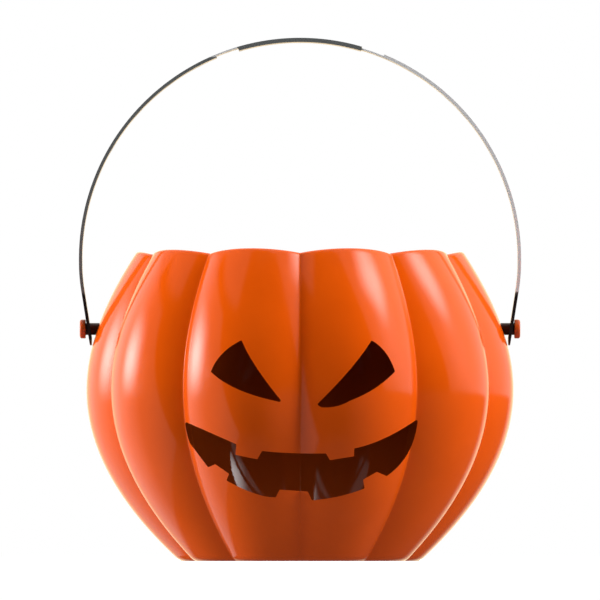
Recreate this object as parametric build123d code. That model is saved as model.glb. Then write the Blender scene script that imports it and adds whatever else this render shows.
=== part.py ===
from build123d import *
import math
import os

# Pumpkin candy pail. Sizes in millimetres. The pail stands on z = 0, its face looks towards -Y,
# and +X is to the right as the face is seen.

# Shell, measured over the ridges of its lobes
belly_radius = 106.75
belly_height = 85.5
base_radius = 60.0
rim_radius = 81.6
rim_height = 154.5
rim_arch = 3.1
wall = 1.9
floor_thickness = 2.2
foot_width = 7.0
foot_recess = 1.5
lobe_count = 10
level_count = 9
valley_share = 0.918
shoulder_share = 0.2

# Face, cut through the front wall
eye_width = 37.4
eye_height = 31.5
eye_spread = 26.9
eye_level = 93.0
mouth_width = 115.2
mouth_height = 40.4
mouth_level = 50.0
cut_corner_radius = 0.6

# Carrying strap
pivot_height = 116.0
strap_stand_off = 1.72
bail_flare = 5.0
strap_straight = 8.5
strap_thickness = 1.6
strap_width = 12.0
strap_lean = 9.0
strap_bend_radius = 24.0
strap_tip_reach = 8.2
grip_length = 63.0
grip_thickness = 2.1
neck_length = 11.7
neck_thickness = 0.8

# Studs and the retainers behind the wall
head_radius = 4.75
head_thickness = 2.95
head_edge_radius = 1.1
journal_radius = 3.0
shank_radius = 2.25
barb_radius = 2.8
barb_tip_radius = 1.7
barb_length = 2.4
retainer_radius = 5.5
retainer_edge = 1.2
retainer_edge_radius = 0.5

# Clearances and cuts
running_clearance = 0.1
seat_clearance = 0.05
swing_clearance = 0.4
overrun = 3.0

# Outlines of the face as (x, z) shares of a cut's width and height about its middle. One pair is the
# end of a straight edge, two pairs are a point on a round edge and its end.
left_eye_shares = [
    [(-0.050, 0.497)],
    [(0.159, 0.047), (0.492, -0.478)],
    [(-0.078, -0.281), (-0.455, 0.006)],
    [(-0.301, 0.289), (-0.050, 0.497)],
]
right_eye_shares = [
    [(0.222, 0.497)],
    [(0.407, 0.305), (0.532, 0.011)],
    [(0.262, -0.258), (-0.067, -0.453)],
    [(-0.238, -0.536), (-0.436, -0.553)],
    [(-0.497, -0.508)],
    [(-0.067, 0.031), (0.222, 0.497)],
]
mouth_shares = [
    [(-0.492, 0.465)],
    [(-0.272, 0.185)],
    [(-0.276, 0.056)],
    [(-0.182, 0.002)],
    [(-0.162, 0.104)],
    [(-0.045, 0.079), (0.111, 0.073)],
    [(0.127, -0.009)],
    [(0.231, 0.038)],
    [(0.232, 0.135)],
    [(0.361, 0.259), (0.505, 0.500)],
    [(0.464, 0.090), (0.371, -0.200)],
    [(0.329, -0.149)],
    [(0.269, -0.245)],
    [(0.277, -0.349)],
    [(0.169, -0.446), (0.051, -0.495)],
    [(0.034, -0.388)],
    [(-0.088, -0.366)],
    [(-0.104, -0.459)],
    [(-0.194, -0.412), (-0.315, -0.254)],
    [(-0.303, -0.172)],
    [(-0.363, -0.056)],
    [(-0.394, -0.093)],
    [(-0.471, 0.200)],
    [(-0.484, 0.322), (-0.492, 0.465)],
]


# Shape of the lobed wall
half_lobe = math.pi / lobe_count


def ridge_radius(z):
    """Radius over the ridges: round below the belly, straightening out towards the rim above it."""
    if z < belly_height:
        return belly_radius - (belly_radius - base_radius) * (1 - z / belly_height) ** 2
    rise = (z - belly_height) / (rim_height - belly_height)
    fall = (1 + shoulder_share) * rise**2 - shoulder_share * rise**3
    return belly_radius - (belly_radius - rim_radius) * fall


def ridge_slope(z):
    """Change of that radius with height."""
    if z < belly_height:
        return 2 * (belly_radius - base_radius) * (1 - z / belly_height) / belly_height
    rise = (z - belly_height) / (rim_height - belly_height)
    steepness = 2 * (1 + shoulder_share) * rise - 3 * shoulder_share * rise**2
    return -(belly_radius - rim_radius) * steepness / (rim_height - belly_height)


def wall_run(z):
    """Thickness of the wall along a level, which grows as the wall leans."""
    return wall * math.hypot(1, ridge_slope(z))


def lobe_arc(ridge):
    """Distance of a lobe's centre from the pail's axis, and its radius, at a level of this ridge radius."""
    valley = valley_share * ridge
    half_chord = valley * math.sin(half_lobe)
    bulge = ridge - valley * math.cos(half_lobe)
    radius = (half_chord**2 + bulge**2) / (2 * bulge)
    return ridge - radius, radius


def lobed_level(z, inset):
    """Outline of round lobes that meet in sharp valleys, as a face at one height, drawn in by an inset."""
    centre, radius = lobe_arc(ridge_radius(z))
    half_chord = centre * math.sin(half_lobe)
    ridge = centre + radius - inset
    valley = centre * math.cos(half_lobe) + math.sqrt((radius - inset) ** 2 - half_chord**2)

    def around(distance, turn):
        angle = turn * half_lobe - math.pi / 2
        return (distance * math.cos(angle), distance * math.sin(angle))

    arcs = []
    for lobe in range(lobe_count):
        first = 2 * lobe
        start = around(valley, first)
        top = around(ridge, first + 1)
        end = around(valley, first + 2)
        arcs.append(ThreePointArc(start, top, end))
    return Pos(0, 0, z) * make_face(arcs)


def lobed_solid(bottom, top, drawn_in):
    """Solid through evenly spaced levels, drawn in by the wall or not."""
    levels = []
    for step in range(level_count):
        z = bottom + (top - bottom) * step / (level_count - 1)
        levels.append(lobed_level(z, wall_run(z) if drawn_in else 0))
    return loft(levels)


# Pumpkin shell: one moulded wall, open at the top, with the face cut through its front
def face_cut(shares, width, height, middle_x, middle_z):
    """Opening with a given outline, from in front of the pail to its axis."""
    edges = []
    for step, points in enumerate(shares):
        places = [(middle_x + x * width, middle_z + z * height) for x, z in points]
        if step > 0 and len(places) == 1:
            edges.append(Line(last, places[0]))
        elif step > 0:
            edges.append(ThreePointArc(last, places[0], places[1]))
        last = places[-1]
    outline = make_face(edges)
    outline = fillet(outline.vertices(), cut_corner_radius)
    return extrude(Plane.XZ * outline, belly_radius + overrun)


floor_top = foot_recess + floor_thickness
outside = lobed_solid(0, rim_height + overrun, False)
inside = lobed_solid(floor_top, rim_height + 2 * overrun, True)
recess = extrude(lobed_level(0, foot_width), foot_recess)

rim_tilt = rim_arch / (rim_radius * (1 - valley_share))
rim_reach = belly_radius + overrun
rim_top = rim_height + 3 * overrun + rim_tilt * rim_reach
rim_cut_outline = Polyline(
    (0, rim_height - rim_tilt * rim_radius),
    (rim_reach, rim_height + rim_tilt * (rim_reach - rim_radius)),
    (rim_reach, rim_top),
    (0, rim_top),
    close=True,
)
rim_cut = revolve(Plane.XZ * make_face(rim_cut_outline), Axis.Z)

shell = outside - inside - recess - rim_cut
shell -= face_cut(left_eye_shares, eye_width, eye_height, -eye_spread, eye_level)
shell -= face_cut(right_eye_shares, eye_width, eye_height, eye_spread, eye_level)
shell -= face_cut(mouth_shares, mouth_width, mouth_height, 0, mouth_level)
for side in (1, -1):
    hole = Cylinder(shank_radius + running_clearance, belly_radius)
    shell -= Pos(side * belly_radius, 0, pivot_height) * Rot(0, 90, 0) * hole


# Carrying strap: a flat moulded strap bent into a bail, with a thicker grip between two thin necks
lean_tangent = math.tan(math.radians(strap_lean))
lean_cosine = math.cos(math.radians(strap_lean))
tip_height = pivot_height - strap_tip_reach
pivot_reach = ridge_radius(tip_height) + strap_stand_off
bail_radius = pivot_reach + bail_flare
bail_line_radius = bail_radius - strap_thickness / 2
bend_height = pivot_height + (bail_line_radius - pivot_reach) / lean_tangent
bail_centre_height = bend_height + strap_straight
path_end_height = tip_height - overrun
path_end_reach = pivot_reach - (pivot_height - path_end_height) * lean_tangent


def strap_side(side):
    """One side of the strap's middle line, from below its tip up to the start of the round."""
    return FilletPolyline(
        (side * path_end_reach, path_end_height),
        (side * bail_line_radius, bend_height),
        (side * bail_line_radius, bail_centre_height),
        radius=strap_bend_radius,
    )


def bail_sector(inner, outer, start_angle, end_angle):
    """Piece of the strap's round between two radii and two angles, over the strap's width."""
    middle_angle = (start_angle + end_angle) / 2

    def at(radius, angle):
        return (radius * math.cos(angle), bail_centre_height + radius * math.sin(angle))

    edges = [
        ThreePointArc(at(outer, start_angle), at(outer, middle_angle), at(outer, end_angle)),
        Line(at(outer, end_angle), at(inner, end_angle)),
        ThreePointArc(at(inner, end_angle), at(inner, middle_angle), at(inner, start_angle)),
        Line(at(inner, start_angle), at(outer, start_angle)),
    ]
    return extrude(Plane.XZ * make_face(edges), strap_width / 2, both=True)


bail_top = ThreePointArc(
    (bail_line_radius, bail_centre_height),
    (0, bail_centre_height + bail_line_radius),
    (-bail_line_radius, bail_centre_height),
)
strap_line = Plane.XZ * Wire([*strap_side(1).edges(), *bail_top.edges(), *strap_side(-1).edges()])
strap_section = Plane(strap_line @ 0, x_dir=(0, 1, 0), z_dir=strap_line % 0)
strap = sweep(strap_section * Rectangle(strap_width, strap_thickness), strap_line)

grip_end_angle = grip_length / (2 * bail_radius)
neck_end_angle = grip_end_angle + neck_length / bail_radius
bail_inner_radius = bail_radius - strap_thickness
upright = math.pi / 2
grip_start = upright - grip_end_angle
grip_end = upright + grip_end_angle
neck_start = upright - neck_end_angle
neck_end = upright + neck_end_angle
strap += bail_sector(bail_radius - grip_thickness, bail_radius, grip_start, grip_end)
strap -= bail_sector(bail_inner_radius - overrun, bail_radius - neck_thickness, grip_end, neck_end)
strap -= bail_sector(bail_inner_radius + neck_thickness, bail_radius + overrun, neck_start, grip_start)

# Round ends of the strap, seen from the side
tab_centre_height = tip_height + strap_width / 2
strap_top = bail_centre_height + bail_radius + overrun
straight_length = strap_top - tab_centre_height
tab_outline = Pos(0, tab_centre_height) * Circle(strap_width / 2)
tab_outline += Pos(0, tab_centre_height + straight_length / 2) * Rectangle(strap_width, straight_length)
strap &= extrude(Plane.YZ * tab_outline, bail_radius + overrun, both=True)

# The tips are bevelled on the inside, round the pivot, to swing clear of the wall, and bored for the studs
tip_slope = ridge_slope(tip_height)
wall_reach = ridge_radius(tip_height) + swing_clearance * math.hypot(1, tip_slope)
pivot_axis = Axis((0, 0, pivot_height), (1, 0, 0))
for side in (1, -1):
    bevel = Polyline(
        (side * (wall_reach - tip_slope * swing_clearance), tip_height - swing_clearance),
        (side * (wall_reach + tip_slope * strap_tip_reach), pivot_height),
        (0, pivot_height),
        (0, tip_height - swing_clearance),
        close=True,
    )
    strap -= revolve(Plane.XZ * make_face(bevel), pivot_axis)
    bore = Cylinder(journal_radius + running_clearance, bail_radius)
    strap -= Pos(side * bail_radius, 0, pivot_height) * Rot(0, 90, 0) * bore


# Studs: a round head, a journal that the strap turns on, and a shank through the wall with a barbed end
pivot_slope = ridge_slope(pivot_height)
pivot_wall_reach = ridge_radius(pivot_height)
pivot_inner_reach = pivot_wall_reach - wall_run(pivot_height)
wall_normal = Vector(1, 0, -pivot_slope)
lobe_inner_radius = lobe_arc(pivot_wall_reach)[1] - wall_run(pivot_height)

strap_outer_reach = pivot_reach + strap_thickness / (2 * lean_cosine)
head_inner_reach = strap_outer_reach + head_radius * lean_tangent + running_clearance
retainer_gap = retainer_radius**2 / (2 * lobe_inner_radius) + running_clearance
retainer_reach = pivot_inner_reach - retainer_gap
retainer_back = retainer_reach + retainer_radius * pivot_slope - retainer_edge


def along_x(shape, start, length):
    """A solid of revolution about Z with its middle at the origin, laid along +X from a start."""
    return Pos(start + length / 2, 0, pivot_height) * Rot(0, 90, 0) * shape


def cut_to_wall(shape, reach, keep):
    """Cuts a solid on a plane along the lean of the wall."""
    return split(shape, Plane((reach, 0, pivot_height), z_dir=wall_normal), keep)


head = Cylinder(head_radius, head_thickness)
head = fillet(head.edges().group_by(Axis.Z)[-1], head_edge_radius)
journal_length = head_inner_reach - pivot_inner_reach
shank_length = head_inner_reach - retainer_back
journal = along_x(Cylinder(journal_radius, journal_length), pivot_inner_reach, journal_length)
stud = along_x(head, head_inner_reach, head_thickness)
stud += cut_to_wall(journal, pivot_wall_reach + seat_clearance, Keep.TOP)
stud += along_x(Cylinder(shank_radius, shank_length), retainer_back, shank_length)
stud += along_x(Cone(barb_tip_radius, barb_radius, barb_length), retainer_back - barb_length, barb_length)

# Retainers: a washer on the shank, its outer face cut to the lean of the wall, held by the barb
retainer_length = pivot_inner_reach - retainer_back + retainer_radius
washer = Cylinder(retainer_radius, retainer_length)
washer -= Cylinder(shank_radius + running_clearance, retainer_length)
rim_edges = washer.edges().group_by(Axis.Z)[0].sort_by(SortBy.RADIUS)
washer = fillet(rim_edges[-1:], retainer_edge_radius)
retainer = cut_to_wall(along_x(washer, retainer_back, retainer_length), retainer_reach, Keep.BOTTOM)


os.makedirs("parts", exist_ok=True)
export_step(shell, "parts/pumpkin_shell.step")
export_step(strap, "parts/handle_strap.step")
export_step(mirror(stud, Plane.YZ), "parts/left_stud.step")
export_step(stud, "parts/right_stud.step")
export_step(mirror(retainer, Plane.YZ), "parts/left_retainer.step")
export_step(retainer, "parts/right_retainer.step")
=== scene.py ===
import math

import bpy
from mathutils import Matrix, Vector


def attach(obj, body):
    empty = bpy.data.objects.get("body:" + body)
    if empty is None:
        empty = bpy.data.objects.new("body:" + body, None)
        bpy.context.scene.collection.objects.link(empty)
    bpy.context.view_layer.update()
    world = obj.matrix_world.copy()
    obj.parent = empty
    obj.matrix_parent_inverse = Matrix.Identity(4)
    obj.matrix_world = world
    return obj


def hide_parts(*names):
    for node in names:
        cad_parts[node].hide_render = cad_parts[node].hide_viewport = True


# Pumpkin candy pail, in metres. It stands on z = 0 with its face towards -Y, and +X is to the right
# as the face is seen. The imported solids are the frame, and each section dresses one piece of it.
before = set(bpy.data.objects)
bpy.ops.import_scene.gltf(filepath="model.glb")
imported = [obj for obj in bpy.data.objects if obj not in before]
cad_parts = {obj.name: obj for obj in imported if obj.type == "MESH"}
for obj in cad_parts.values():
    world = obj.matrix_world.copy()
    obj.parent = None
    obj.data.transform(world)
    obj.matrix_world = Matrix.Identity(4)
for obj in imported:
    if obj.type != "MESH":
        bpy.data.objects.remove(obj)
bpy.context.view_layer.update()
scene = bpy.context.scene
scene.view_settings.view_transform = "Standard"

# Pumpkin shell: one moulded bowl of glossy orange plastic with ten round lobes, open at the top, on a
# foot ring round a recessed base. Two eyes and a toothed mouth are cut through its front wall, and a
# hole at each side takes a stud.
shell_sizes = {
    "Belly Radius": 0.10675,
    "Belly Height": 0.0855,
    "Base Radius": 0.060,
    "Rim Radius": 0.0816,
    "Rim Height": 0.1545,
    "Rim Arch": 0.0023,
    "Shoulder Share": 0.2,
    "Valley Share": 0.918,
    "Valley Round": 0.0009,
    "Wall": 0.0019,
    "Floor Height": 0.0037,
    "Floor Round": 0.0030,
    "Foot Width": 0.0070,
    "Foot Round": 0.0008,
    "Foot Recess": 0.0015,
    "Stud Height": 0.116,
    "Stud Hole Radius": 0.00235,
    "Stud Hole Steps": 48,
    "Cut Corner Radius": 0.0006,
    "Cut Corner Steps": 4,
    "Lobes": 10,
    "Steps Around": 360,
    "Steps Up": 108,
    "Steps Inside": 60,
    "Steps Across": 10,
}
eye_size = (0.0374, 0.0315)
eye_spread = 0.0269
eye_level = 0.093
mouth_size = (0.1152, 0.0404)
mouth_level = 0.050
arc_step_length = 0.0018
least_arc_steps = 3
face_cut_share = 1.1
stud_hole_share = 3
weld_distance = 0.00002
cut_weld_distance = 0.0001
sharp_fold = math.radians(38)
valley_crowding = 1.6

# Outlines of the cuts as (x, z) shares of a cut's width and height about its middle. One pair is the
# end of a straight edge, two pairs are a point on a round edge and its end.
left_eye_shares = [
    [(-0.050, 0.497)],
    [(0.159, 0.047), (0.492, -0.478)],
    [(-0.078, -0.281), (-0.455, 0.006)],
    [(-0.301, 0.289), (-0.050, 0.497)],
]
right_eye_shares = [
    [(0.222, 0.497)],
    [(0.407, 0.305), (0.532, 0.011)],
    [(0.262, -0.258), (-0.067, -0.453)],
    [(-0.238, -0.536), (-0.436, -0.553)],
    [(-0.497, -0.508)],
    [(-0.067, 0.031), (0.222, 0.497)],
]
mouth_shares = [
    [(-0.492, 0.465)],
    [(-0.272, 0.185)],
    [(-0.276, 0.056)],
    [(-0.182, 0.002)],
    [(-0.162, 0.104)],
    [(-0.045, 0.079), (0.111, 0.073)],
    [(0.127, -0.009)],
    [(0.231, 0.038)],
    [(0.232, 0.135)],
    [(0.361, 0.259), (0.505, 0.500)],
    [(0.464, 0.090), (0.371, -0.200)],
    [(0.329, -0.149)],
    [(0.269, -0.245)],
    [(0.277, -0.349)],
    [(0.169, -0.446), (0.051, -0.495)],
    [(0.034, -0.388)],
    [(-0.088, -0.366)],
    [(-0.104, -0.459)],
    [(-0.194, -0.412), (-0.315, -0.254)],
    [(-0.303, -0.172)],
    [(-0.363, -0.056)],
    [(-0.394, -0.093)],
    [(-0.471, 0.200)],
    [(-0.484, 0.322), (-0.492, 0.465)],
]


class Field:
    """A number in a node tree. Sums, products and powers of fields add Math nodes to the tree."""

    def __init__(self, tree, socket):
        self.tree = tree
        self.socket = socket

    def __add__(self, other):
        return calc("ADD", self, other)

    def __radd__(self, other):
        return calc("ADD", other, self)

    def __sub__(self, other):
        return calc("SUBTRACT", self, other)

    def __rsub__(self, other):
        return calc("SUBTRACT", other, self)

    def __mul__(self, other):
        return calc("MULTIPLY", self, other)

    def __rmul__(self, other):
        return calc("MULTIPLY", other, self)

    def __truediv__(self, other):
        return calc("DIVIDE", self, other)

    def __rtruediv__(self, other):
        return calc("DIVIDE", other, self)

    def __pow__(self, other):
        return calc("POWER", self, other)


def feed(tree, socket, value):
    """Links a field or a socket to an input, or sets the input to a plain value."""
    if isinstance(value, Field):
        value = value.socket
    if isinstance(value, bpy.types.NodeSocket):
        tree.links.new(value, socket)
    else:
        socket.default_value = value


def calc(operation, *values):
    """Adds a Math node to the tree that its values are in and gives its result."""
    tree = next(value.tree for value in values if isinstance(value, Field))
    step = tree.nodes.new("ShaderNodeMath")
    step.operation = operation
    for socket, value in zip(step.inputs, values):
        feed(tree, socket, value)
    return Field(tree, step.outputs[0])


def add(tree, kind, inputs={}, **settings):
    """Adds a node with its settings, and feeds its inputs by name or by place."""
    made = tree.nodes.new(kind)
    for name, value in settings.items():
        setattr(made, name, value)
    for name, value in inputs.items():
        feed(tree, made.inputs[name], value)
    return made


def sized_tree(name, sizes, takes_geometry=False):
    """A Geometry Nodes tree with a named input for each size, and those inputs as fields."""
    tree = bpy.data.node_groups.new(name, "GeometryNodeTree")
    if takes_geometry:
        tree.interface.new_socket("Geometry", in_out="INPUT", socket_type="NodeSocketGeometry")
    for label, value in sizes.items():
        kind = "NodeSocketInt" if isinstance(value, int) else "NodeSocketFloat"
        tree.interface.new_socket(label, in_out="INPUT", socket_type=kind)
    entry = tree.nodes.new("NodeGroupInput")
    fields = {label: Field(tree, entry.outputs[label]) for label in sizes}
    return tree, entry, fields


def give(tree, outputs):
    """Closes a tree with its outputs: geometry by name, or fields by name."""
    leave = tree.nodes.new("NodeGroupOutput")
    for label, value in outputs.items():
        kind = "NodeSocketFloat" if isinstance(value, Field) else "NodeSocketGeometry"
        tree.interface.new_socket(label, in_out="OUTPUT", socket_type=kind)
        feed(tree, leave.inputs[label], value)


def grown(name, data, tree, sizes):
    """Runs a tree on an object with these sizes, and leaves a plain mesh object of that name."""
    seed = bpy.data.objects.new(name + "_seed", data)
    scene.collection.objects.link(seed)
    growth = seed.modifiers.new("growth", "NODES")
    growth.node_group = tree
    for item in tree.interface.items_tree:
        if item.in_out == "INPUT" and item.name in sizes:
            growth[item.identifier] = sizes[item.name]
    bpy.context.view_layer.update()
    evaluated = seed.evaluated_get(bpy.context.evaluated_depsgraph_get())
    mesh = bpy.data.meshes.new_from_object(evaluated)
    mesh.name = name
    seed.modifiers.remove(growth)
    bpy.data.objects.remove(seed)
    piece = bpy.data.objects.new(name, mesh)
    scene.collection.objects.link(piece)
    return piece


def vector(tree, x=0.0, y=0.0, z=0.0):
    """A vector from three fields or numbers."""
    return add(tree, "ShaderNodeCombineXYZ", {"X": x, "Y": y, "Z": z}).outputs[0]


def merged(tree, *parts, distance=weld_distance):
    """Joins parts and merges the points that lie on each other."""
    joined = add(tree, "GeometryNodeJoinGeometry")
    for part in parts:
        tree.links.new(part, joined.inputs[0])
    weld = {0: joined.outputs[0], "Distance": distance}
    return add(tree, "GeometryNodeMergeByDistance", weld).outputs[0]


def block(tree, outlines, start, depth):
    """Fills flat outlines, stands them at a distance along Y, and pushes them into closed blocks."""
    filled = add(tree, "GeometryNodeFillCurve", {"Curve": outlines})
    stand = {"Geometry": filled.outputs[0], "Rotation": (math.pi / 2, 0, 0)}
    stand["Translation"] = vector(tree, y=start)
    upright = add(tree, "GeometryNodeTransform", stand).outputs[0]
    push = {"Mesh": upright, "Offset": vector(tree, y=depth), "Individual": False}
    pushed = add(tree, "GeometryNodeExtrudeMesh", push).outputs[0]
    backs = add(tree, "GeometryNodeFlipFaces", {0: upright}).outputs[0]
    return merged(tree, backs, pushed)


def bar_along_x(tree, radius, length, height, steps):
    """A round bar along X that crosses the pail's axis at a height."""
    size = {"Vertices": steps, "Radius": radius, "Depth": length}
    bar = add(tree, "GeometryNodeMeshCylinder", size).outputs[0]
    lay = {"Geometry": bar, "Rotation": (0, math.pi / 2, 0), "Translation": vector(tree, z=height)}
    return add(tree, "GeometryNodeTransform", lay).outputs[0]


def carved(tree, solid, *tools):
    """A solid with other solids taken out of it."""
    way = {"operation": "DIFFERENCE", "solver": "MANIFOLD"}
    cut = add(tree, "GeometryNodeMeshBoolean", {"Mesh 1": solid}, **way)
    for tool in tools:
        tree.links.new(tool, cut.inputs["Mesh 2"])
    return cut.outputs[0]


def finish_tree(tree, solid, material):
    """Ends a tree: smooth faces with the sharp folds kept, plain geometry and one material."""
    angle = add(tree, "GeometryNodeInputMeshEdgeAngle")
    sharp = calc("GREATER_THAN", Field(tree, angle.outputs[0]), sharp_fold)
    soften = {"Geometry": solid, "Shade Smooth": True}
    smooth = add(tree, "GeometryNodeSetShadeSmooth", soften).outputs[0]
    keep = {"Geometry": smooth, "Selection": sharp, "Shade Smooth": False}
    edged = add(tree, "GeometryNodeSetShadeSmooth", keep, domain="EDGE").outputs[0]
    plain = add(tree, "GeometryNodeRealizeInstances", {"Geometry": edged}).outputs[0]
    dress = {"Geometry": plain, "Material": material}
    give(tree, {"Geometry": add(tree, "GeometryNodeSetMaterial", dress).outputs[0]})


def cut_outline(curve, shares, size, middle):
    """Adds a closed outline to a flat curve, with radius 1 at its corners and 0 on round edges."""
    corners = []
    for points in shares:
        places = [Vector((middle[0] + x * size[0], middle[1] + z * size[1])) for x, z in points]
        if len(places) == 2:
            start, through, end = corners[-1][0], places[0], places[1]
            pull = 2 * through - (start + end) / 2
            arc_steps = max(least_arc_steps, round((end - start).length / arc_step_length))
            for step in range(1, arc_steps):
                t = step / arc_steps
                corners.append(((1 - t) ** 2 * start + 2 * t * (1 - t) * pull + t**2 * end, 0))
        corners.append((places[-1], 1))
    corners.pop()
    spline = curve.splines.new("POLY")
    spline.points.add(len(corners) - 1)
    for point, (place, corner) in zip(spline.points, corners):
        point.co = (place.x, place.y, 0, 1)
        point.radius = corner
    spline.use_cyclic_u = True


face_curve = bpy.data.curves.new("face_outlines", "CURVE")
face_curve.dimensions = "3D"
cut_outline(face_curve, left_eye_shares, eye_size, (-eye_spread, eye_level))
cut_outline(face_curve, right_eye_shares, eye_size, (eye_spread, eye_level))
cut_outline(face_curve, mouth_shares, mouth_size, (0, mouth_level))

# One level of the lobed wall: its radius at an angle from the front, and how far the wall leans
level_sizes = {"Angle": 0.0, "Height": 0.0, "Inset": 0.0, **shell_sizes}
level_tree, _, level = sized_tree("lobed_level", level_sizes)
below = 1 - calc("MINIMUM", level["Height"] / level["Belly Height"], 1.0)
body_rise = level["Rim Height"] - level["Belly Height"]
rise = calc("MAXIMUM", (level["Height"] - level["Belly Height"]) / body_rise, 0.0)
flare = level["Belly Radius"] - level["Base Radius"]
taper = level["Belly Radius"] - level["Rim Radius"]
shoulder = level["Shoulder Share"]
ridge = level["Belly Radius"] - flare * below**2.0
ridge = ridge - taper * ((1 + shoulder) * rise**2.0 - shoulder * rise**3.0)
slope = 2 * flare * below / level["Belly Height"]
slope = slope - taper * (2 * (1 + shoulder) * rise - 3 * shoulder * rise**2.0) / body_rise
lean = calc("SQRT", 1 + slope * slope)
half_lobe = math.pi / level["Lobes"]
valley = level["Valley Share"] * ridge
bulge = ridge - valley * calc("COSINE", half_lobe)
half_chord = valley * calc("SINE", half_lobe)
lobe_radius = (half_chord * half_chord + bulge * bulge) / (2 * bulge)
lobe_centre = ridge - lobe_radius
turn = calc("FRACT", level["Angle"] / (2 * half_lobe))
from_ridge = calc("ABSOLUTE", turn - 0.5) * 2 * half_lobe


def lobe_reach(angle):
    """Distance from the pail's axis to a lobe's round, at an angle from the lobe's ridge."""
    across = lobe_centre * calc("SINE", angle)
    drawn_in = lobe_radius - level["Inset"]
    return lobe_centre * calc("COSINE", angle) + calc("SQRT", drawn_in * drawn_in - across * across)


own_lobe = lobe_reach(from_ridge)
next_lobe = lobe_reach(2 * half_lobe - from_ridge)
wall_radius = calc("SMOOTH_MAX", own_lobe, next_lobe, level["Valley Round"])
give(level_tree, {"Radius": wall_radius, "Lean": lean})

# The whole shell: patches of that wall outside, over the rim, inside, on the floor and under the foot
shell_tree, shell_entry, shell = sized_tree("pumpkin_shell_growth", shell_sizes, takes_geometry=True)
half_wall = 0.5 * shell["Wall"]


def at_level(angle, height, inset):
    """Radius and lean of the wall at one place."""
    inputs = {label: shell[label] for label in shell_sizes}
    inputs.update({"Angle": angle, "Height": height, "Inset": inset})
    made = add(shell_tree, "GeometryNodeGroup", inputs, node_tree=level_tree)
    return Field(shell_tree, made.outputs["Radius"]), Field(shell_tree, made.outputs["Lean"])


def patch(steps, shape, inner=0.0):
    """A grid round the pail, crowded near the valleys and laid where shape(angle, share) says."""
    counts = {"Vertices X": shell["Steps Around"] + 1, "Vertices Y": steps + 1}
    grid = add(shell_tree, "GeometryNodeMeshGrid", counts)
    split = add(shell_tree, "ShaderNodeSeparateXYZ", {0: grid.outputs["UV Map"]})
    # Whole steps first, so that the last column lies on the first one
    step = calc("ROUND", Field(shell_tree, split.outputs["X"]) * shell["Steps Around"])
    lobe = step * shell["Lobes"] / shell["Steps Around"]
    across = 2 * calc("FRACT", lobe) - 1
    crowded = calc("SIGN", across) * (1 - (1 - calc("ABSOLUTE", across)) ** valley_crowding)
    angle = (calc("FLOOR", lobe) + 0.5 + 0.5 * crowded) * 2 * math.pi / shell["Lobes"]
    reach, height = shape(angle, Field(shell_tree, split.outputs["Y"]))
    place = vector(shell_tree, reach * calc("SINE", angle), 0 - reach * calc("COSINE", angle), height)
    lay = {0: grid.outputs["Mesh"], "Position": place}
    laid = add(shell_tree, "GeometryNodeSetPosition", lay).outputs[0]
    mark = {"Geometry": laid, "Name": "inner_face", "Value": inner}
    return add(shell_tree, "GeometryNodeStoreNamedAttribute", mark, domain="FACE").outputs[0]


def rim_height_at(angle):
    """Height of the rim, which dips from each ridge to the valleys beside it."""
    reach, _ = at_level(angle, shell["Rim Height"], 0.0)
    dip = (1 - reach / shell["Rim Radius"]) / (1 - shell["Valley Share"])
    return shell["Rim Height"] - shell["Rim Arch"] * dip


def rounding(distance, size):
    """How far a quarter-round edge of a size is drawn in, at a distance from its start."""
    short = calc("MAXIMUM", size - distance, 0.0)
    return size - calc("SQRT", size * size - short * short)


def outer_wall(angle, share):
    """Outside of the wall, from the rounded foot up to the rim."""
    height = share * (rim_height_at(angle) - half_wall)
    reach, _ = at_level(angle, height, rounding(height, shell["Foot Round"]))
    return reach, height


def rim(angle, share):
    """The half-round top edge, from the outside over to the inside."""
    turned = share * math.pi
    height = rim_height_at(angle) - half_wall + half_wall * calc("SINE", turned)
    _, leaning = at_level(angle, height, 0.0)
    reach, _ = at_level(angle, height, half_wall * (1 - calc("COSINE", turned)) * leaning)
    return reach, height


def inner_wall(angle, share):
    """Inside of the wall, from the rim down into the rounded corner at the floor."""
    top = rim_height_at(angle) - half_wall
    height = top + share * (shell["Floor Height"] - top)
    _, leaning = at_level(angle, height, 0.0)
    corner = rounding(height - shell["Floor Height"], shell["Floor Round"])
    reach, _ = at_level(angle, height, shell["Wall"] * leaning + corner)
    return reach, height


def inside_floor(angle, share):
    """The floor inside, from that corner to the middle."""
    _, leaning = at_level(angle, shell["Floor Height"], 0.0)
    reach, _ = at_level(angle, shell["Floor Height"], shell["Wall"] * leaning + shell["Floor Round"])
    return reach * (1 - share), shell["Floor Height"]


def recess(angle, share):
    """The recessed base underneath, from the middle out to the foot ring."""
    reach, _ = at_level(angle, 0.0, shell["Foot Width"])
    return reach * share, shell["Foot Recess"]


def recess_step(angle, share):
    """The step from the recess down to the foot ring."""
    reach, _ = at_level(angle, 0.0, shell["Foot Width"])
    return reach, shell["Foot Recess"] * (1 - share)


def foot(angle, share):
    """The foot ring that the pail stands on."""
    inset = shell["Foot Width"] + share * (shell["Foot Round"] - shell["Foot Width"])
    reach, _ = at_level(angle, 0.0, inset)
    return reach, 0.0


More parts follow.
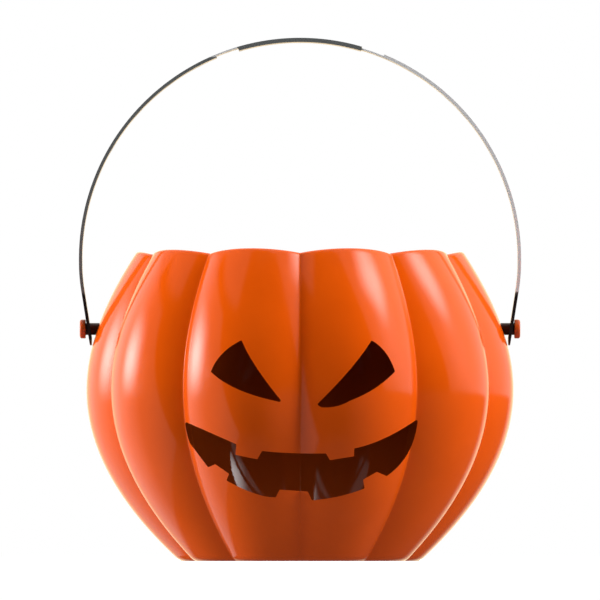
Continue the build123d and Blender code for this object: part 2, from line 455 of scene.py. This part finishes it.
walls = merged(
    shell_tree,
    patch(shell["Steps Up"], outer_wall),
    patch(shell["Steps Across"], rim),
    patch(shell["Steps Inside"], inner_wall, 1.0),
    patch(shell["Steps Across"], inside_floor, 1.0),
    patch(shell["Steps Across"], recess),
    patch(1, recess_step),
    patch(2, foot),
)
corner_marks = Field(shell_tree, add(shell_tree, "GeometryNodeInputRadius").outputs[0])
rounded = add(
    shell_tree,
    "GeometryNodeFilletCurve",
    {
        "Curve": shell_entry.outputs["Geometry"],
        "Radius": corner_marks * shell["Cut Corner Radius"],
        "Count": shell["Cut Corner Steps"],
        "Limit Radius": True,
    },
    mode="POLY",
)
face_cuts = block(shell_tree, rounded.outputs[0], 0.0, -face_cut_share * shell["Belly Radius"])
hole_length = stud_hole_share * shell["Belly Radius"]
stud_holes = bar_along_x(
    shell_tree, shell["Stud Hole Radius"], hole_length, shell["Stud Height"], shell["Stud Hole Steps"]
)
shell_cut = carved(shell_tree, walls, face_cuts, stud_holes)
shell_shape = merged(shell_tree, shell_cut, distance=cut_weld_distance)

# Moulded plastic: faint clouds in the colour, a fine orange peel, smudges from handling and small
# specks, in one group that every plastic of the pail uses with its own scales
cloud_range = (0.3, 0.7)
smudge_range = (0.45, 0.75)
speck_range = (0.7, 0.8)
speck_dulling = 0.12
speck_height = 0.5
plastic_scales = ("Cloud Scale", "Peel Scale", "Smudge Scale", "Speck Scale")
plastic_group = bpy.data.node_groups.new("moulded_plastic", "ShaderNodeTree")
for label in plastic_scales:
    plastic_group.interface.new_socket(label, in_out="INPUT", socket_type="NodeSocketFloat")
plastic_entry = plastic_group.nodes.new("NodeGroupInput")
plastic = {label: Field(plastic_group, plastic_entry.outputs[label]) for label in plastic_scales}
object_place = add(plastic_group, "ShaderNodeTexCoord").outputs["Object"]


def noise(scale, detail, roughness, distortion=0.0):
    """Noise over the piece, from 0 to 1."""
    look = {"Scale": scale, "Detail": detail, "Roughness": roughness, "Distortion": distortion}
    made = add(plastic_group, "ShaderNodeTexNoise", {"Vector": object_place, **look})
    return Field(plastic_group, made.outputs[0])


def between(value, low, high):
    """How far a field is from a low to a high value, kept between 0 and 1, with soft ends."""
    ends = {0: value, 1: low, 2: high}
    ranged = add(value.tree, "ShaderNodeMapRange", ends, interpolation_type="SMOOTHSTEP")
    return Field(value.tree, ranged.outputs[0])


cloud_noise = noise(plastic["Cloud Scale"], detail=3.0, roughness=0.55)
peel_noise = noise(plastic["Peel Scale"], detail=2.0, roughness=0.5)
smudge_noise = noise(plastic["Smudge Scale"], detail=5.0, roughness=0.6, distortion=0.8)
speck_noise = noise(plastic["Speck Scale"], detail=2.0, roughness=0.6)
plastic_masks = {
    "Clouds": between(cloud_noise, *cloud_range),
    "Peel": peel_noise,
    "Smudges": between(smudge_noise, *smudge_range),
    "Specks": between(speck_noise, *speck_range),
}
give(plastic_group, plastic_masks)


def object_axes(tree):
    """The three Object coordinates of a piece as fields."""
    split = add(tree, "ShaderNodeSeparateXYZ", {0: add(tree, "ShaderNodeTexCoord").outputs["Object"]})
    return [Field(tree, socket) for socket in split.outputs]


def mixed(tree, share, first, second):
    """A colour between two colours, each plain or a socket."""
    mix = add(tree, "ShaderNodeMix", data_type="RGBA")
    # Inputs 6 and 7 are the node's two colours
    for place, value in (("Factor", share), (6, first), (7, second)):
        feed(tree, mix.inputs[place], (*value, 1) if isinstance(value, tuple) else value)
    return mix.outputs[2]


def plastic_material(name, scales, colours, roughness, peel_height, shades=()):
    """A moulded plastic with its own look. A shade is a mask, its colour and how much it dulls."""
    material = bpy.data.materials.new(name)
    material.use_nodes = True
    tree = material.node_tree
    shader = tree.nodes["Principled BSDF"]
    look = add(tree, "ShaderNodeGroup", node_tree=plastic_group)
    for label, scale in scales.items():
        look.inputs[label].default_value = scale
    clouds, peel, smudges, specks = [Field(tree, socket) for socket in look.outputs]
    tint = mixed(tree, clouds, *colours)
    gloss = roughness[0] + (roughness[1] - roughness[0]) * smudges + speck_dulling * specks
    for mask, shade, dulled in shades:
        share = mask(tree)
        tint = mixed(tree, share, tint, shade)
        gloss = gloss + dulled * share
    feed(tree, shader.inputs["Base Color"], tint)
    feed(tree, shader.inputs["Roughness"], gloss)
    relief = peel + speck_height * specks
    bump = add(tree, "ShaderNodeBump", {"Height": relief, "Distance": peel_height})
    feed(tree, shader.inputs["Normal"], bump.outputs[0])
    return material


def inside_painted_shade(tree):
    """1 on the inside of the bowl, which is painted dark brown as shade, and 0 elsewhere."""
    return Field(tree, add(tree, "ShaderNodeAttribute", attribute_name="inner_face").outputs["Fac"])


shell_plastic = plastic_material(
    "glossy_orange_plastic",
    {"Cloud Scale": 26.0, "Peel Scale": 620.0, "Smudge Scale": 34.0, "Speck Scale": 900.0},
    colours=((0.88, 0.106, 0.0025), (0.83, 0.097, 0.002)),
    roughness=(0.10, 0.16),
    peel_height=0.00001,
    # The inside of the bowl is painted dark brown: painted shade for the dim light inside it.
    shades=[(inside_painted_shade, (0.24, 0.037, 0.003), -0.06)],
)
finish_tree(shell_tree, shell_shape, shell_plastic)
moulded_shell = grown("moulded_shell", face_curve, shell_tree, shell_sizes)
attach(moulded_shell, "pail")
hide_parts("pumpkin_shell")

# Carrying strap: one flat strap of glossy black plastic, moulded as a bail with a thicker grip
# between two thin necks. Its long edges get a painted grey sheen, the right arm's and the necks' edges
# a painted light grey highlight, and the tabs painted shade. Its round ends are bored and hang on the
# studs, and their inner faces are bevelled to swing clear of the wall.
strap_sizes = {
    "Strap Width": 0.012,
    "Span": 0.33,
    "Pivot Height": 0.116,
    "Tip Reach": 0.0082,
    "Bore Radius": 0.0031,
    "Bore Steps": 48,
}
pivot_height = strap_sizes["Pivot Height"]
pivot_reach = 0.10549
strap_thickness = 0.0016
strap_lean = math.radians(9)
strap_bend_radius = 0.09
bend_steps = 12
bail_radius = 0.11048
bail_centre_height = 0.151
grip_half_length = 0.0315
grip_angle = grip_half_length / bail_radius
grip_thickness = 0.0021
neck_length = 0.0117
neck_angle = grip_angle + neck_length / bail_radius
neck_thickness = 0.0008
bevel_start = 0.0045
bevel_reach = 0.1042
tip_overrun = 0.002
round_step = math.radians(1.2)
strap_edge_radius = 0.00035
strap_edge_steps = 3
strap_edge_fold = math.radians(60)
strap_side_share = 0.9


def bail_round(start, end, outer, inner):
    """Outer and inner points of the strap's round between two angles from upright."""
    steps = math.ceil((end - start) / round_step)
    outside, inside = [], []
    for step in range(steps + 1):
        angle = start + (end - start) * step / steps
        sideways, up = math.sin(angle), math.cos(angle)
        outside.append((outer * sideways, bail_centre_height + outer * up))
        inside.append((inner * sideways, bail_centre_height + inner * up))
    return outside, inside


def strap_leg():
    """Outer and inner points of the strap's right leg, from below the round to its tip."""
    line_radius = bail_radius - strap_thickness / 2
    bend_height = pivot_height + (line_radius - pivot_reach) / math.tan(strap_lean)
    centre_x = line_radius - strap_bend_radius
    centre_z = bend_height + strap_bend_radius * math.tan(strap_lean / 2)
    tip_drop = strap_sizes["Tip Reach"] + tip_overrun
    outside, inside = [], []
    for points, offset in ((outside, strap_thickness / 2), (inside, -strap_thickness / 2)):
        bend = strap_bend_radius + offset
        for step in range(bend_steps + 1):
            angle = strap_lean * step / bend_steps
            points.append((centre_x + bend * math.cos(angle), centre_z - bend * math.sin(angle)))
        lean_x = pivot_reach + offset / math.cos(strap_lean)
        drop = bevel_start if offset < 0 else tip_drop
        points.append((lean_x - drop * math.tan(strap_lean), pivot_height - drop))
    inside.append((bevel_reach, pivot_height - tip_drop))
    return outside, inside


def flat_curve(name, points, closed):
    """A flat curve through points, with points that lie on each other left out."""
    kept = [points[0]]
    for point in points[1:]:
        if math.dist(point, kept[-1]) > weld_distance:
            kept.append(point)
    curve = bpy.data.curves.new(name, "CURVE")
    curve.dimensions = "3D"
    spline = curve.splines.new("POLY")
    spline.points.add(len(kept) - 1)
    for point, place in zip(spline.points, kept):
        point.co = (*place, 0, 1)
    spline.use_cyclic_u = closed
    return curve


arm_radii = (bail_radius, bail_radius - strap_thickness)
left_neck_radii = (bail_radius, bail_radius - neck_thickness)
right_neck_radii = (arm_radii[1] + neck_thickness, arm_radii[1])
grip_radii = (bail_radius, bail_radius - grip_thickness)
leg_outside, leg_inside = strap_leg()
strap_outside = [(-x, z) for x, z in reversed(leg_outside)]
strap_inside = [(-x, z) for x, z in reversed(leg_inside)]
for start, end, radii in (
    (-math.pi / 2, -neck_angle, arm_radii),
    (-neck_angle, -grip_angle, left_neck_radii),
    (-grip_angle, grip_angle, grip_radii),
    (grip_angle, neck_angle, right_neck_radii),
    (neck_angle, math.pi / 2, arm_radii),
):
    outside, inside = bail_round(start, end, *radii)
    strap_outside += outside
    strap_inside += inside
strap_outside += leg_outside
strap_inside += leg_inside
strap_curve = flat_curve("strap_outline", strap_outside + strap_inside[::-1], True)

# Where the painted sheen, highlight and shade begin and end, across the strap, from its middle
# and up from the floor
edge_band = (0.0055, 0.0058)
arm_start = (0.0318, 0.0322)
neck_start = (0.0312, 0.0316)
neck_height = (0.2515, 0.2525)
highlight_end_height = 0.1345
highlight_end_blend = 0.0004
tab_shade_blend = 0.0020


def edge_painted_sheen(tree):
    """1 on the strap's long edges, which get a grey painted sheen for the light they catch."""
    _, y, _ = object_axes(tree)
    return between(calc("ABSOLUTE", y), *edge_band)


def arm_and_neck_painted_highlight(tree):
    """1 on the long edges of the right arm and the two thin necks, painted light grey as a highlight.
    """
    x, _, z = object_axes(tree)
    arm = between(x, *arm_start) * between(z, highlight_end_height - highlight_end_blend, highlight_end_height + highlight_end_blend)
    neck = between(calc("ABSOLUTE", x), *neck_start) * between(z, *neck_height)
    return edge_painted_sheen(tree) * calc("MAXIMUM", arm, neck)


def tab_painted_shade(tree):
    """1 on the two ends below the bends, painted near black as shade where they lean away from the
    light.
    """
    _, _, z = object_axes(tree)
    return between(z, highlight_end_height + highlight_end_blend, highlight_end_height - tab_shade_blend)


strap_plastic = plastic_material(
    "glossy_black_plastic",
    {"Cloud Scale": 60.0, "Peel Scale": 900.0, "Smudge Scale": 90.0, "Speck Scale": 1400.0},
    colours=((0.030, 0.030, 0.033), (0.040, 0.040, 0.043)),
    roughness=(0.2, 0.34),
    peel_height=0.000005,
    # Painted light on the strap: grey sheen on the long edges, a light grey highlight on the right arm
    # and necks, and painted shade on the tabs
    shades=[
        (edge_painted_sheen, (0.15, 0.16, 0.16), 0.1),
        (arm_and_neck_painted_highlight, (0.74, 0.74, 0.75), 0.1),
        (tab_painted_shade, (0.016, 0.014, 0.014), 0.0),
    ],
)

strap_tree, strap_entry, strap = sized_tree("handle_strap_growth", strap_sizes, takes_geometry=True)
half_width = 0.5 * strap["Strap Width"]
pivot = strap["Pivot Height"]
bore_steps = strap["Bore Steps"]
strap_bar = block(strap_tree, strap_entry.outputs["Geometry"], 0 - half_width, strap["Strap Width"])
round_height = pivot - strap["Tip Reach"] + half_width
stock_size = vector(strap_tree, strap["Span"], 2 * strap["Strap Width"], strap["Strap Width"])
stock = add(strap_tree, "GeometryNodeMeshCube", {"Size": stock_size}).outputs[0]
stock_lowering = vector(strap_tree, z=round_height - half_width)
lowering = {"Geometry": stock, "Translation": stock_lowering}
stock = add(strap_tree, "GeometryNodeTransform", lowering).outputs[0]
round_end = bar_along_x(strap_tree, half_width, 2 * strap["Span"], round_height, 2 * bore_steps)
end_corners = carved(strap_tree, stock, round_end)
bore = bar_along_x(strap_tree, strap["Bore Radius"], strap["Span"], pivot, bore_steps)
strap_shape = carved(strap_tree, strap_bar, end_corners, bore)
# The long edges and the round ends are marked for their moulded rounding
strap_fold = Field(strap_tree, add(strap_tree, "GeometryNodeInputMeshEdgeAngle").outputs[0])
is_edge = calc("GREATER_THAN", strap_fold, strap_edge_fold)
edge_middle = add(strap_tree, "GeometryNodeInputPosition").outputs[0]
edge_place = add(strap_tree, "ShaderNodeSeparateXYZ", {0: edge_middle})
edge_y, edge_z = [Field(strap_tree, edge_place.outputs[axis]) for axis in ("Y", "Z")]
past_side = calc("ABSOLUTE", edge_y) - strap_side_share * half_width
is_side = calc("GREATER_THAN", past_side, 0.0)
is_end = calc("LESS_THAN", edge_z, pivot + half_width)
marks = {"Geometry": strap_shape, "Name": "bevel_weight_edge"}
marked = add(strap_tree, "GeometryNodeStoreNamedAttribute", marks, data_type="FLOAT", domain="EDGE")
feed(strap_tree, marked.inputs["Value"], is_edge * calc("MAXIMUM", is_side, is_end))
finish_tree(strap_tree, marked.outputs[0], strap_plastic)
moulded_strap = grown("moulded_strap", strap_curve, strap_tree, strap_sizes)
strap_rounding = moulded_strap.modifiers.new("moulded_edges", "BEVEL")
strap_rounding.width = strap_edge_radius
strap_rounding.segments = strap_edge_steps
strap_rounding.limit_method = "WEIGHT"
strap_rounding.harden_normals = True
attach(moulded_strap, "handle")
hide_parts("handle_strap")

# Studs: two mouldings of satin orange plastic, one at each side. A round head holds the strap on a
# journal that seats on the wall, and a thinner shank with a barbed end goes through the wall.
stud_sizes = {"Stud Height": 0.116, "Wall Reach": 0.10134, "Wall Slope": -0.3371, "Steps Around": 64}
head_start = 0.10715
head_thickness = 0.00295
head_radius = 0.00475
head_edge_radius = 0.0011
head_back_radius = 0.0004
journal_radius = 0.0030
shank_radius = 0.00225
shank_start = 0.09572
barb_length = 0.0024
barb_radius = 0.0028
barb_tip_radius = 0.0017
journal_shade_edge = (head_start + 0.0001, head_start - 0.0002)


def round_edge(along, outwards, radius, start, end, steps=6):
    """Points of a round edge about a centre, between two angles from the axis."""
    angles = [start + (end - start) * step / steps for step in range(steps + 1)]
    turns = [(math.cos(angle), math.sin(angle)) for angle in angles]
    return [(along + radius * forth, outwards + radius * out) for forth, out in turns]


head_end = head_start + head_thickness
head_back = round_edge(
    head_start + head_back_radius,
    head_radius - head_back_radius,
    head_back_radius,
    math.pi,
    math.pi / 2,
)
head_front = round_edge(
    head_end - head_edge_radius,
    head_radius - head_edge_radius,
    head_edge_radius,
    math.pi / 2,
    0,
)
stud_profile = [
    (shank_start - barb_length, 0),
    (shank_start - barb_length, barb_tip_radius),
    (shank_start, barb_radius),
    (shank_start, shank_radius),
    (stud_sizes["Wall Reach"], shank_radius),
    (stud_sizes["Wall Reach"], journal_radius),
    (head_start, journal_radius),
    *head_back,
    *head_front,
    (head_end, 0),
]


def journal_painted_shade(tree):
    """1 on the journals, darkened as painted shade under the strap that hangs on them."""
    x, _, _ = object_axes(tree)
    return between(calc("ABSOLUTE", x), *journal_shade_edge)


stud_plastic = plastic_material(
    "satin_orange_plastic",
    {"Cloud Scale": 120.0, "Peel Scale": 1100.0, "Smudge Scale": 160.0, "Speck Scale": 1800.0},
    # The studs' orange is darker than the shell's: painted shade, as the studs sit in shade at the
    # pail's sides.
    colours=((0.60, 0.088, 0.008), (0.50, 0.068, 0.006)),
    roughness=(0.28, 0.4),
    peel_height=0.00003,
    shades=[(journal_painted_shade, (0.05, 0.011, 0.004), 0.1)],
)


def turned_pair(name, material):
    """A tree that turns a profile about X, leans what meets the wall, and sets one at each side."""
    tree, entry, sizes = sized_tree(name, stud_sizes, takes_geometry=True)
    profile = entry.outputs["Geometry"]
    count = add(tree, "GeometryNodeAttributeDomainSize", {"Geometry": profile}, component="CURVE")
    points = Field(tree, count.outputs["Point Count"])
    counts = {"Vertices X": sizes["Steps Around"] + 1, "Vertices Y": points}
    grid = add(tree, "GeometryNodeMeshGrid", counts)
    split = add(tree, "ShaderNodeSeparateXYZ", {0: grid.outputs["UV Map"]})
    turn = Field(tree, split.outputs["X"]) * 2 * math.pi
    index = calc("ROUND", Field(tree, split.outputs["Y"]) * (points - 1))
    sampled = {"Geometry": profile, "Index": index}
    place = add(tree, "GeometryNodeSampleIndex", sampled, data_type="FLOAT_VECTOR", domain="POINT")
    tree.links.new(add(tree, "GeometryNodeInputPosition").outputs[0], place.inputs["Value"])
    along = add(tree, "ShaderNodeSeparateXYZ", {0: place.outputs["Value"]})
    reach, radius = Field(tree, along.outputs["X"]), Field(tree, along.outputs["Y"])
    up = radius * calc("SINE", turn)
    meets_wall = calc("COMPARE", reach, sizes["Wall Reach"], weld_distance)
    leaned = reach + meets_wall * sizes["Wall Slope"] * up
    position = vector(tree, leaned, radius * calc("COSINE", turn), up)
    lay = {0: grid.outputs["Mesh"], "Position": position}
    laid = add(tree, "GeometryNodeSetPosition", lay).outputs[0]
    both_sides = {"Count": 2, "Position": vector(tree, z=sizes["Stud Height"])}
    sides = add(tree, "GeometryNodePoints", both_sides)
    side = Field(tree, add(tree, "GeometryNodeInputIndex").outputs[0])
    placing = {
        "Points": sides.outputs[0],
        "Instance": merged(tree, laid),
        "Rotation": vector(tree, z=side * math.pi),
    }
    pair = add(tree, "GeometryNodeInstanceOnPoints", placing).outputs[0]
    plain_pair = add(tree, "GeometryNodeRealizeInstances", {"Geometry": pair}).outputs[0]
    finish_tree(tree, plain_pair, material)
    return tree


stud_curve = flat_curve("stud_profile", stud_profile, False)
stud_tree = turned_pair("stud_growth", stud_plastic)
studs = grown("studs", stud_curve, stud_tree, stud_sizes)
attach(studs, "pail")
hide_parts("left_stud", "right_stud")

# Retainers: a washer of the studs' plastic on each shank inside the wall, with its outer face on the
# wall's lean. The stud's barb snaps through it and holds it there.
retainer_radius = 0.0055
retainer_bore = 0.00235
retainer_edge_radius = 0.0005
retainer_face = 0.09877
retainer_sizes = {**stud_sizes, "Wall Reach": retainer_face}
retainer_edge = round_edge(
    shank_start + retainer_edge_radius,
    retainer_radius - retainer_edge_radius,
    retainer_edge_radius,
    math.pi,
    math.pi / 2,
)
retainer_profile = [
    (retainer_face, retainer_bore),
    (shank_start, retainer_bore),
    *retainer_edge,
    (retainer_face, retainer_radius),
    (retainer_face, retainer_bore),
]
retainer_curve = flat_curve("retainer_profile", retainer_profile, False)
retainer_tree = turned_pair("retainer_growth", stud_plastic)
retainers = grown("retainers", retainer_curve, retainer_tree, retainer_sizes)
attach(retainers, "pail")
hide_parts("left_retainer", "right_retainer")

# Floor: a plain pale studio floor that glows faintly, so that some light comes up under the pail. The
# camera sees it lifted to white with the pail's shadow kept. Gloss sees the world's floor instead.
floor_half = 9.0
floor_lift = 0.7
floor_pale = (0.4, 0.4, 0.4)
floor_dim = (0.1, 0.1, 0.1)
floor_glow = 0.29
lift_range = (0.2, 0.8)
floor_mesh = bpy.data.meshes.new("floor")
floor_corners = [(-floor_half, -floor_half, 0), (floor_half, -floor_half, 0)]
floor_corners += [(floor_half, floor_half, 0), (-floor_half, floor_half, 0)]
floor_mesh.from_pydata(floor_corners, [], [(0, 1, 2, 3)])
floor = bpy.data.objects.new("floor", floor_mesh)
scene.collection.objects.link(floor)
floor_paper = bpy.data.materials.new("pale_floor")
floor_paper.use_nodes = True
floor_tree = floor_paper.node_tree
floor_shader = floor_tree.nodes["Principled BSDF"]
floor_shader.inputs["Roughness"].default_value = 0.9
floor_shader.inputs["Specular IOR Level"].default_value = 0.0


def seen_rays(tree):
    """Two fields: 1 for what the camera sees, straight or through clear parts, and 1 for gloss."""
    rays = add(tree, "ShaderNodeLightPath").outputs
    camera_ray = Field(tree, rays["Is Camera Ray"])
    clear_ray = Field(tree, rays["Is Transmission Ray"])
    return calc("MAXIMUM", camera_ray, clear_ray), Field(tree, rays["Is Glossy Ray"])


floor_x, floor_y, _ = object_axes(floor_tree)
floor_reach = calc("SQRT", floor_x * floor_x + floor_y * floor_y)
floor_seen, _ = seen_rays(floor_tree)
floor_colour = mixed(floor_tree, floor_seen, floor_dim, floor_pale)
feed(floor_tree, floor_shader.inputs["Base Color"], floor_colour)
far_lift = floor_lift + (1 - floor_lift) * between(floor_reach, *lift_range)
floor_light = floor_glow + (far_lift - floor_glow) * floor_seen
feed(floor_tree, floor_shader.inputs["Emission Strength"], floor_light)
floor.visible_glossy = False
# Not sampled as a lamp, which leaves bright dots on the thin strap
floor_paper.cycles.emission_sampling = "NONE"
floor_mesh.materials.append(floor_paper)

# World: a dim room for the light, and white for the camera. Gloss sees a studio in it: a panel at the
# left, one at the right that ends at the horizon, a patch of ceiling, a warm backdrop and dim floor.
# A way is a direction in the room, and an edge says where along it a zone begins and where it is full.
room_level = 0.045
left_way = (-0.75, 0.66, 0.0)
left_level = (0.42, 1.4)
left_growth = (0.6, 1.0)
left_low_share = 0.72
left_low_edge = (0.1, -0.3)
left_top_way = (-0.75, 0.0, -1.0)
left_top_edge = (-0.06, -0.01)
left_bottom_way = (-1.15, 0.0, 1.0)
left_bottom_edge = (-0.03, 0.03)
left_front_way = (-0.6, 1.0, -0.54)
left_front_edge = (-0.20, -0.14)
right_way = (0.484, 0.806, 0.338)
right_level = (0.45, 0.95)
right_growth = (0.1, 0.7)
right_edge = (0.03, 0.07)
horizon_edge = (-0.03, -0.01)
ceiling_level = 0.35
ceiling_side_edge = (0.0, 0.12)
ceiling_edge = (0.66, 0.72)
backdrop_level = 1.4
backdrop_edge = (0.7, 0.95)
backdrop_top = (0.3, 0.65)
backdrop_low_share = 0.4
backdrop_low_edge = (-0.5, -0.1)
warm_white = (1.2, 0.95, 0.62)
right_floor_level = 0.08
right_floor_edge = (0.0, 0.5)
near_floor_level = 0.1
near_floor_edge = (-0.45, -0.65)
world = bpy.data.worlds.new("studio")
scene.world = world
world.use_nodes = True
world_tree = world.node_tree
sky = world_tree.nodes["Background"]
sky_direction = add(world_tree, "ShaderNodeTexCoord").outputs["Generated"]
towards = add(world_tree, "ShaderNodeSeparateXYZ", {0: sky_direction})
east, north, up = [Field(world_tree, socket) for socket in towards.outputs]
sky_seen, sky_gloss = seen_rays(world_tree)


def facing(way):
    """How far the direction that is looked in points along a way."""
    return way[0] * east + way[1] * north + way[2] * up


leftwards = facing(left_way)
far_left = between(leftwards, *left_growth)
left_wall = left_level[0] + (left_level[1] - left_level[0]) * far_left
left_wall = left_wall * between(facing(left_top_way), *left_top_edge)
left_wall = left_wall * between(facing(left_bottom_way), *left_bottom_edge)
left_wall = left_wall * (1 - (1 - left_low_share) * between(up, *left_low_edge) * far_left)
left_wall = left_wall * between(facing(left_front_way), *left_front_edge)
rightwards = facing(right_way)
right_wall = right_level[0] + (right_level[1] - right_level[0]) * between(rightwards, *right_growth)
right_wall = right_wall * between(rightwards, *right_edge) * between(up, *horizon_edge)
right_floor = right_floor_level * between(up, *horizon_edge[::-1]) * between(east, *right_floor_edge)
near_floor = near_floor_level * between(up, *near_floor_edge)
ceiling = ceiling_level * between(leftwards, *ceiling_side_edge) * between(up, *ceiling_edge)
behind = between(north, *backdrop_edge)
backdrop = backdrop_level * behind * (1 - between(up, *backdrop_top))
backdrop_rise = between(up, *backdrop_low_edge)
backdrop = backdrop * (backdrop_low_share + (1 - backdrop_low_share) * backdrop_rise)
walls_seen = left_wall
for zone in (right_wall, backdrop, ceiling, right_floor, near_floor):
    walls_seen = calc("MAXIMUM", walls_seen, zone)
studio = room_level + (walls_seen - room_level) * sky_gloss
sky_colour = mixed(world_tree, sky_gloss * behind, (1, 1, 1), warm_white)
feed(world_tree, sky.inputs["Color"], sky_colour)
feed(world_tree, sky.inputs["Strength"], studio + (1 - studio) * sky_seen)

# Lights: a low softbox at the left and one high at the right, which both show in gloss, and fills and
# rim lamps that don't. All are aimed at the middle of the pail.
lamp_aim = Vector((0, 0, 0.085))


def softbox(name, azimuth, elevation, distance, size, brightness, roll=0.0, soft=0.3, gloss=True):
    """A lamp with edges that fade over a soft share. Azimuth 0 is in front and grows to the right."""
    lamp = bpy.data.lights.new(name, "AREA")
    lamp.shape = "RECTANGLE"
    lamp.size, lamp.size_y = size
    lamp.energy = brightness * math.pi * size[0] * size[1]
    lamp.use_nodes = True
    glow = lamp.node_tree
    lamp_face = add(glow, "ShaderNodeNewGeometry").outputs["Parametric"]
    place = add(glow, "ShaderNodeSeparateXYZ", {0: lamp_face})
    inset = [0.5 - calc("ABSOLUTE", Field(glow, place.outputs[axis]) - 0.5) for axis in ("X", "Y")]
    fall = between(inset[0], 0.0, soft) * between(inset[1], 0.0, soft)
    feed(glow, glow.nodes["Emission"].inputs["Strength"], fall)
    holder = bpy.data.objects.new(name, lamp)
    turn, lift = math.radians(azimuth), math.radians(elevation)
    out = Vector((math.sin(turn) * math.cos(lift), -math.cos(turn) * math.cos(lift), math.sin(lift)))
    holder.location = lamp_aim + distance * out
    holder.rotation_euler = out.to_track_quat("Z", "Y").to_euler()
    holder.rotation_euler.rotate_axis("Z", math.radians(roll))
    holder.visible_glossy = gloss
    scene.collection.objects.link(holder)


softbox("left_softbox", -98, 13, 1.2, (0.9, 0.80), 8.8, soft=0.5)
softbox("left_fill", -86, 7, 1.8, (1.2, 1.2), 13.8, gloss=False)
softbox("right_softbox", 75, 47, 1.4, (0.72, 1.1), 6.3, roll=37, soft=0.45)
softbox("right_fill", 80, 24, 1.8, (1.4, 1.6), 8.9, gloss=False)
softbox("top_fill", 0, 78, 1.8, (1.2, 1.2), 6.4, gloss=False)
softbox("left_rim", -150, 15, 1.8, (1.0, 1.2), 5.0, gloss=False)
softbox("right_rim", 150, 15, 1.8, (1.0, 1.2), 5.0, gloss=False)

# Camera: a long lens far in front, at the height of the pail's base and tilted up a little, so that the
# rim and the studs are seen almost level.
camera_distance = 6.0
camera_height = 0.004
aim_height = 0.1305
camera_lens = bpy.data.cameras.new("camera")
camera_lens.lens = 720
camera_lens.sensor_width = 36
camera_lens.clip_end = 100
camera = bpy.data.objects.new("camera", camera_lens)
camera.location = (0, -camera_distance, camera_height)
tilt = math.atan2(aim_height - camera_height, camera_distance)
camera.rotation_euler = (math.pi / 2 + tilt, 0, 0)
scene.collection.objects.link(camera)
scene.camera = camera
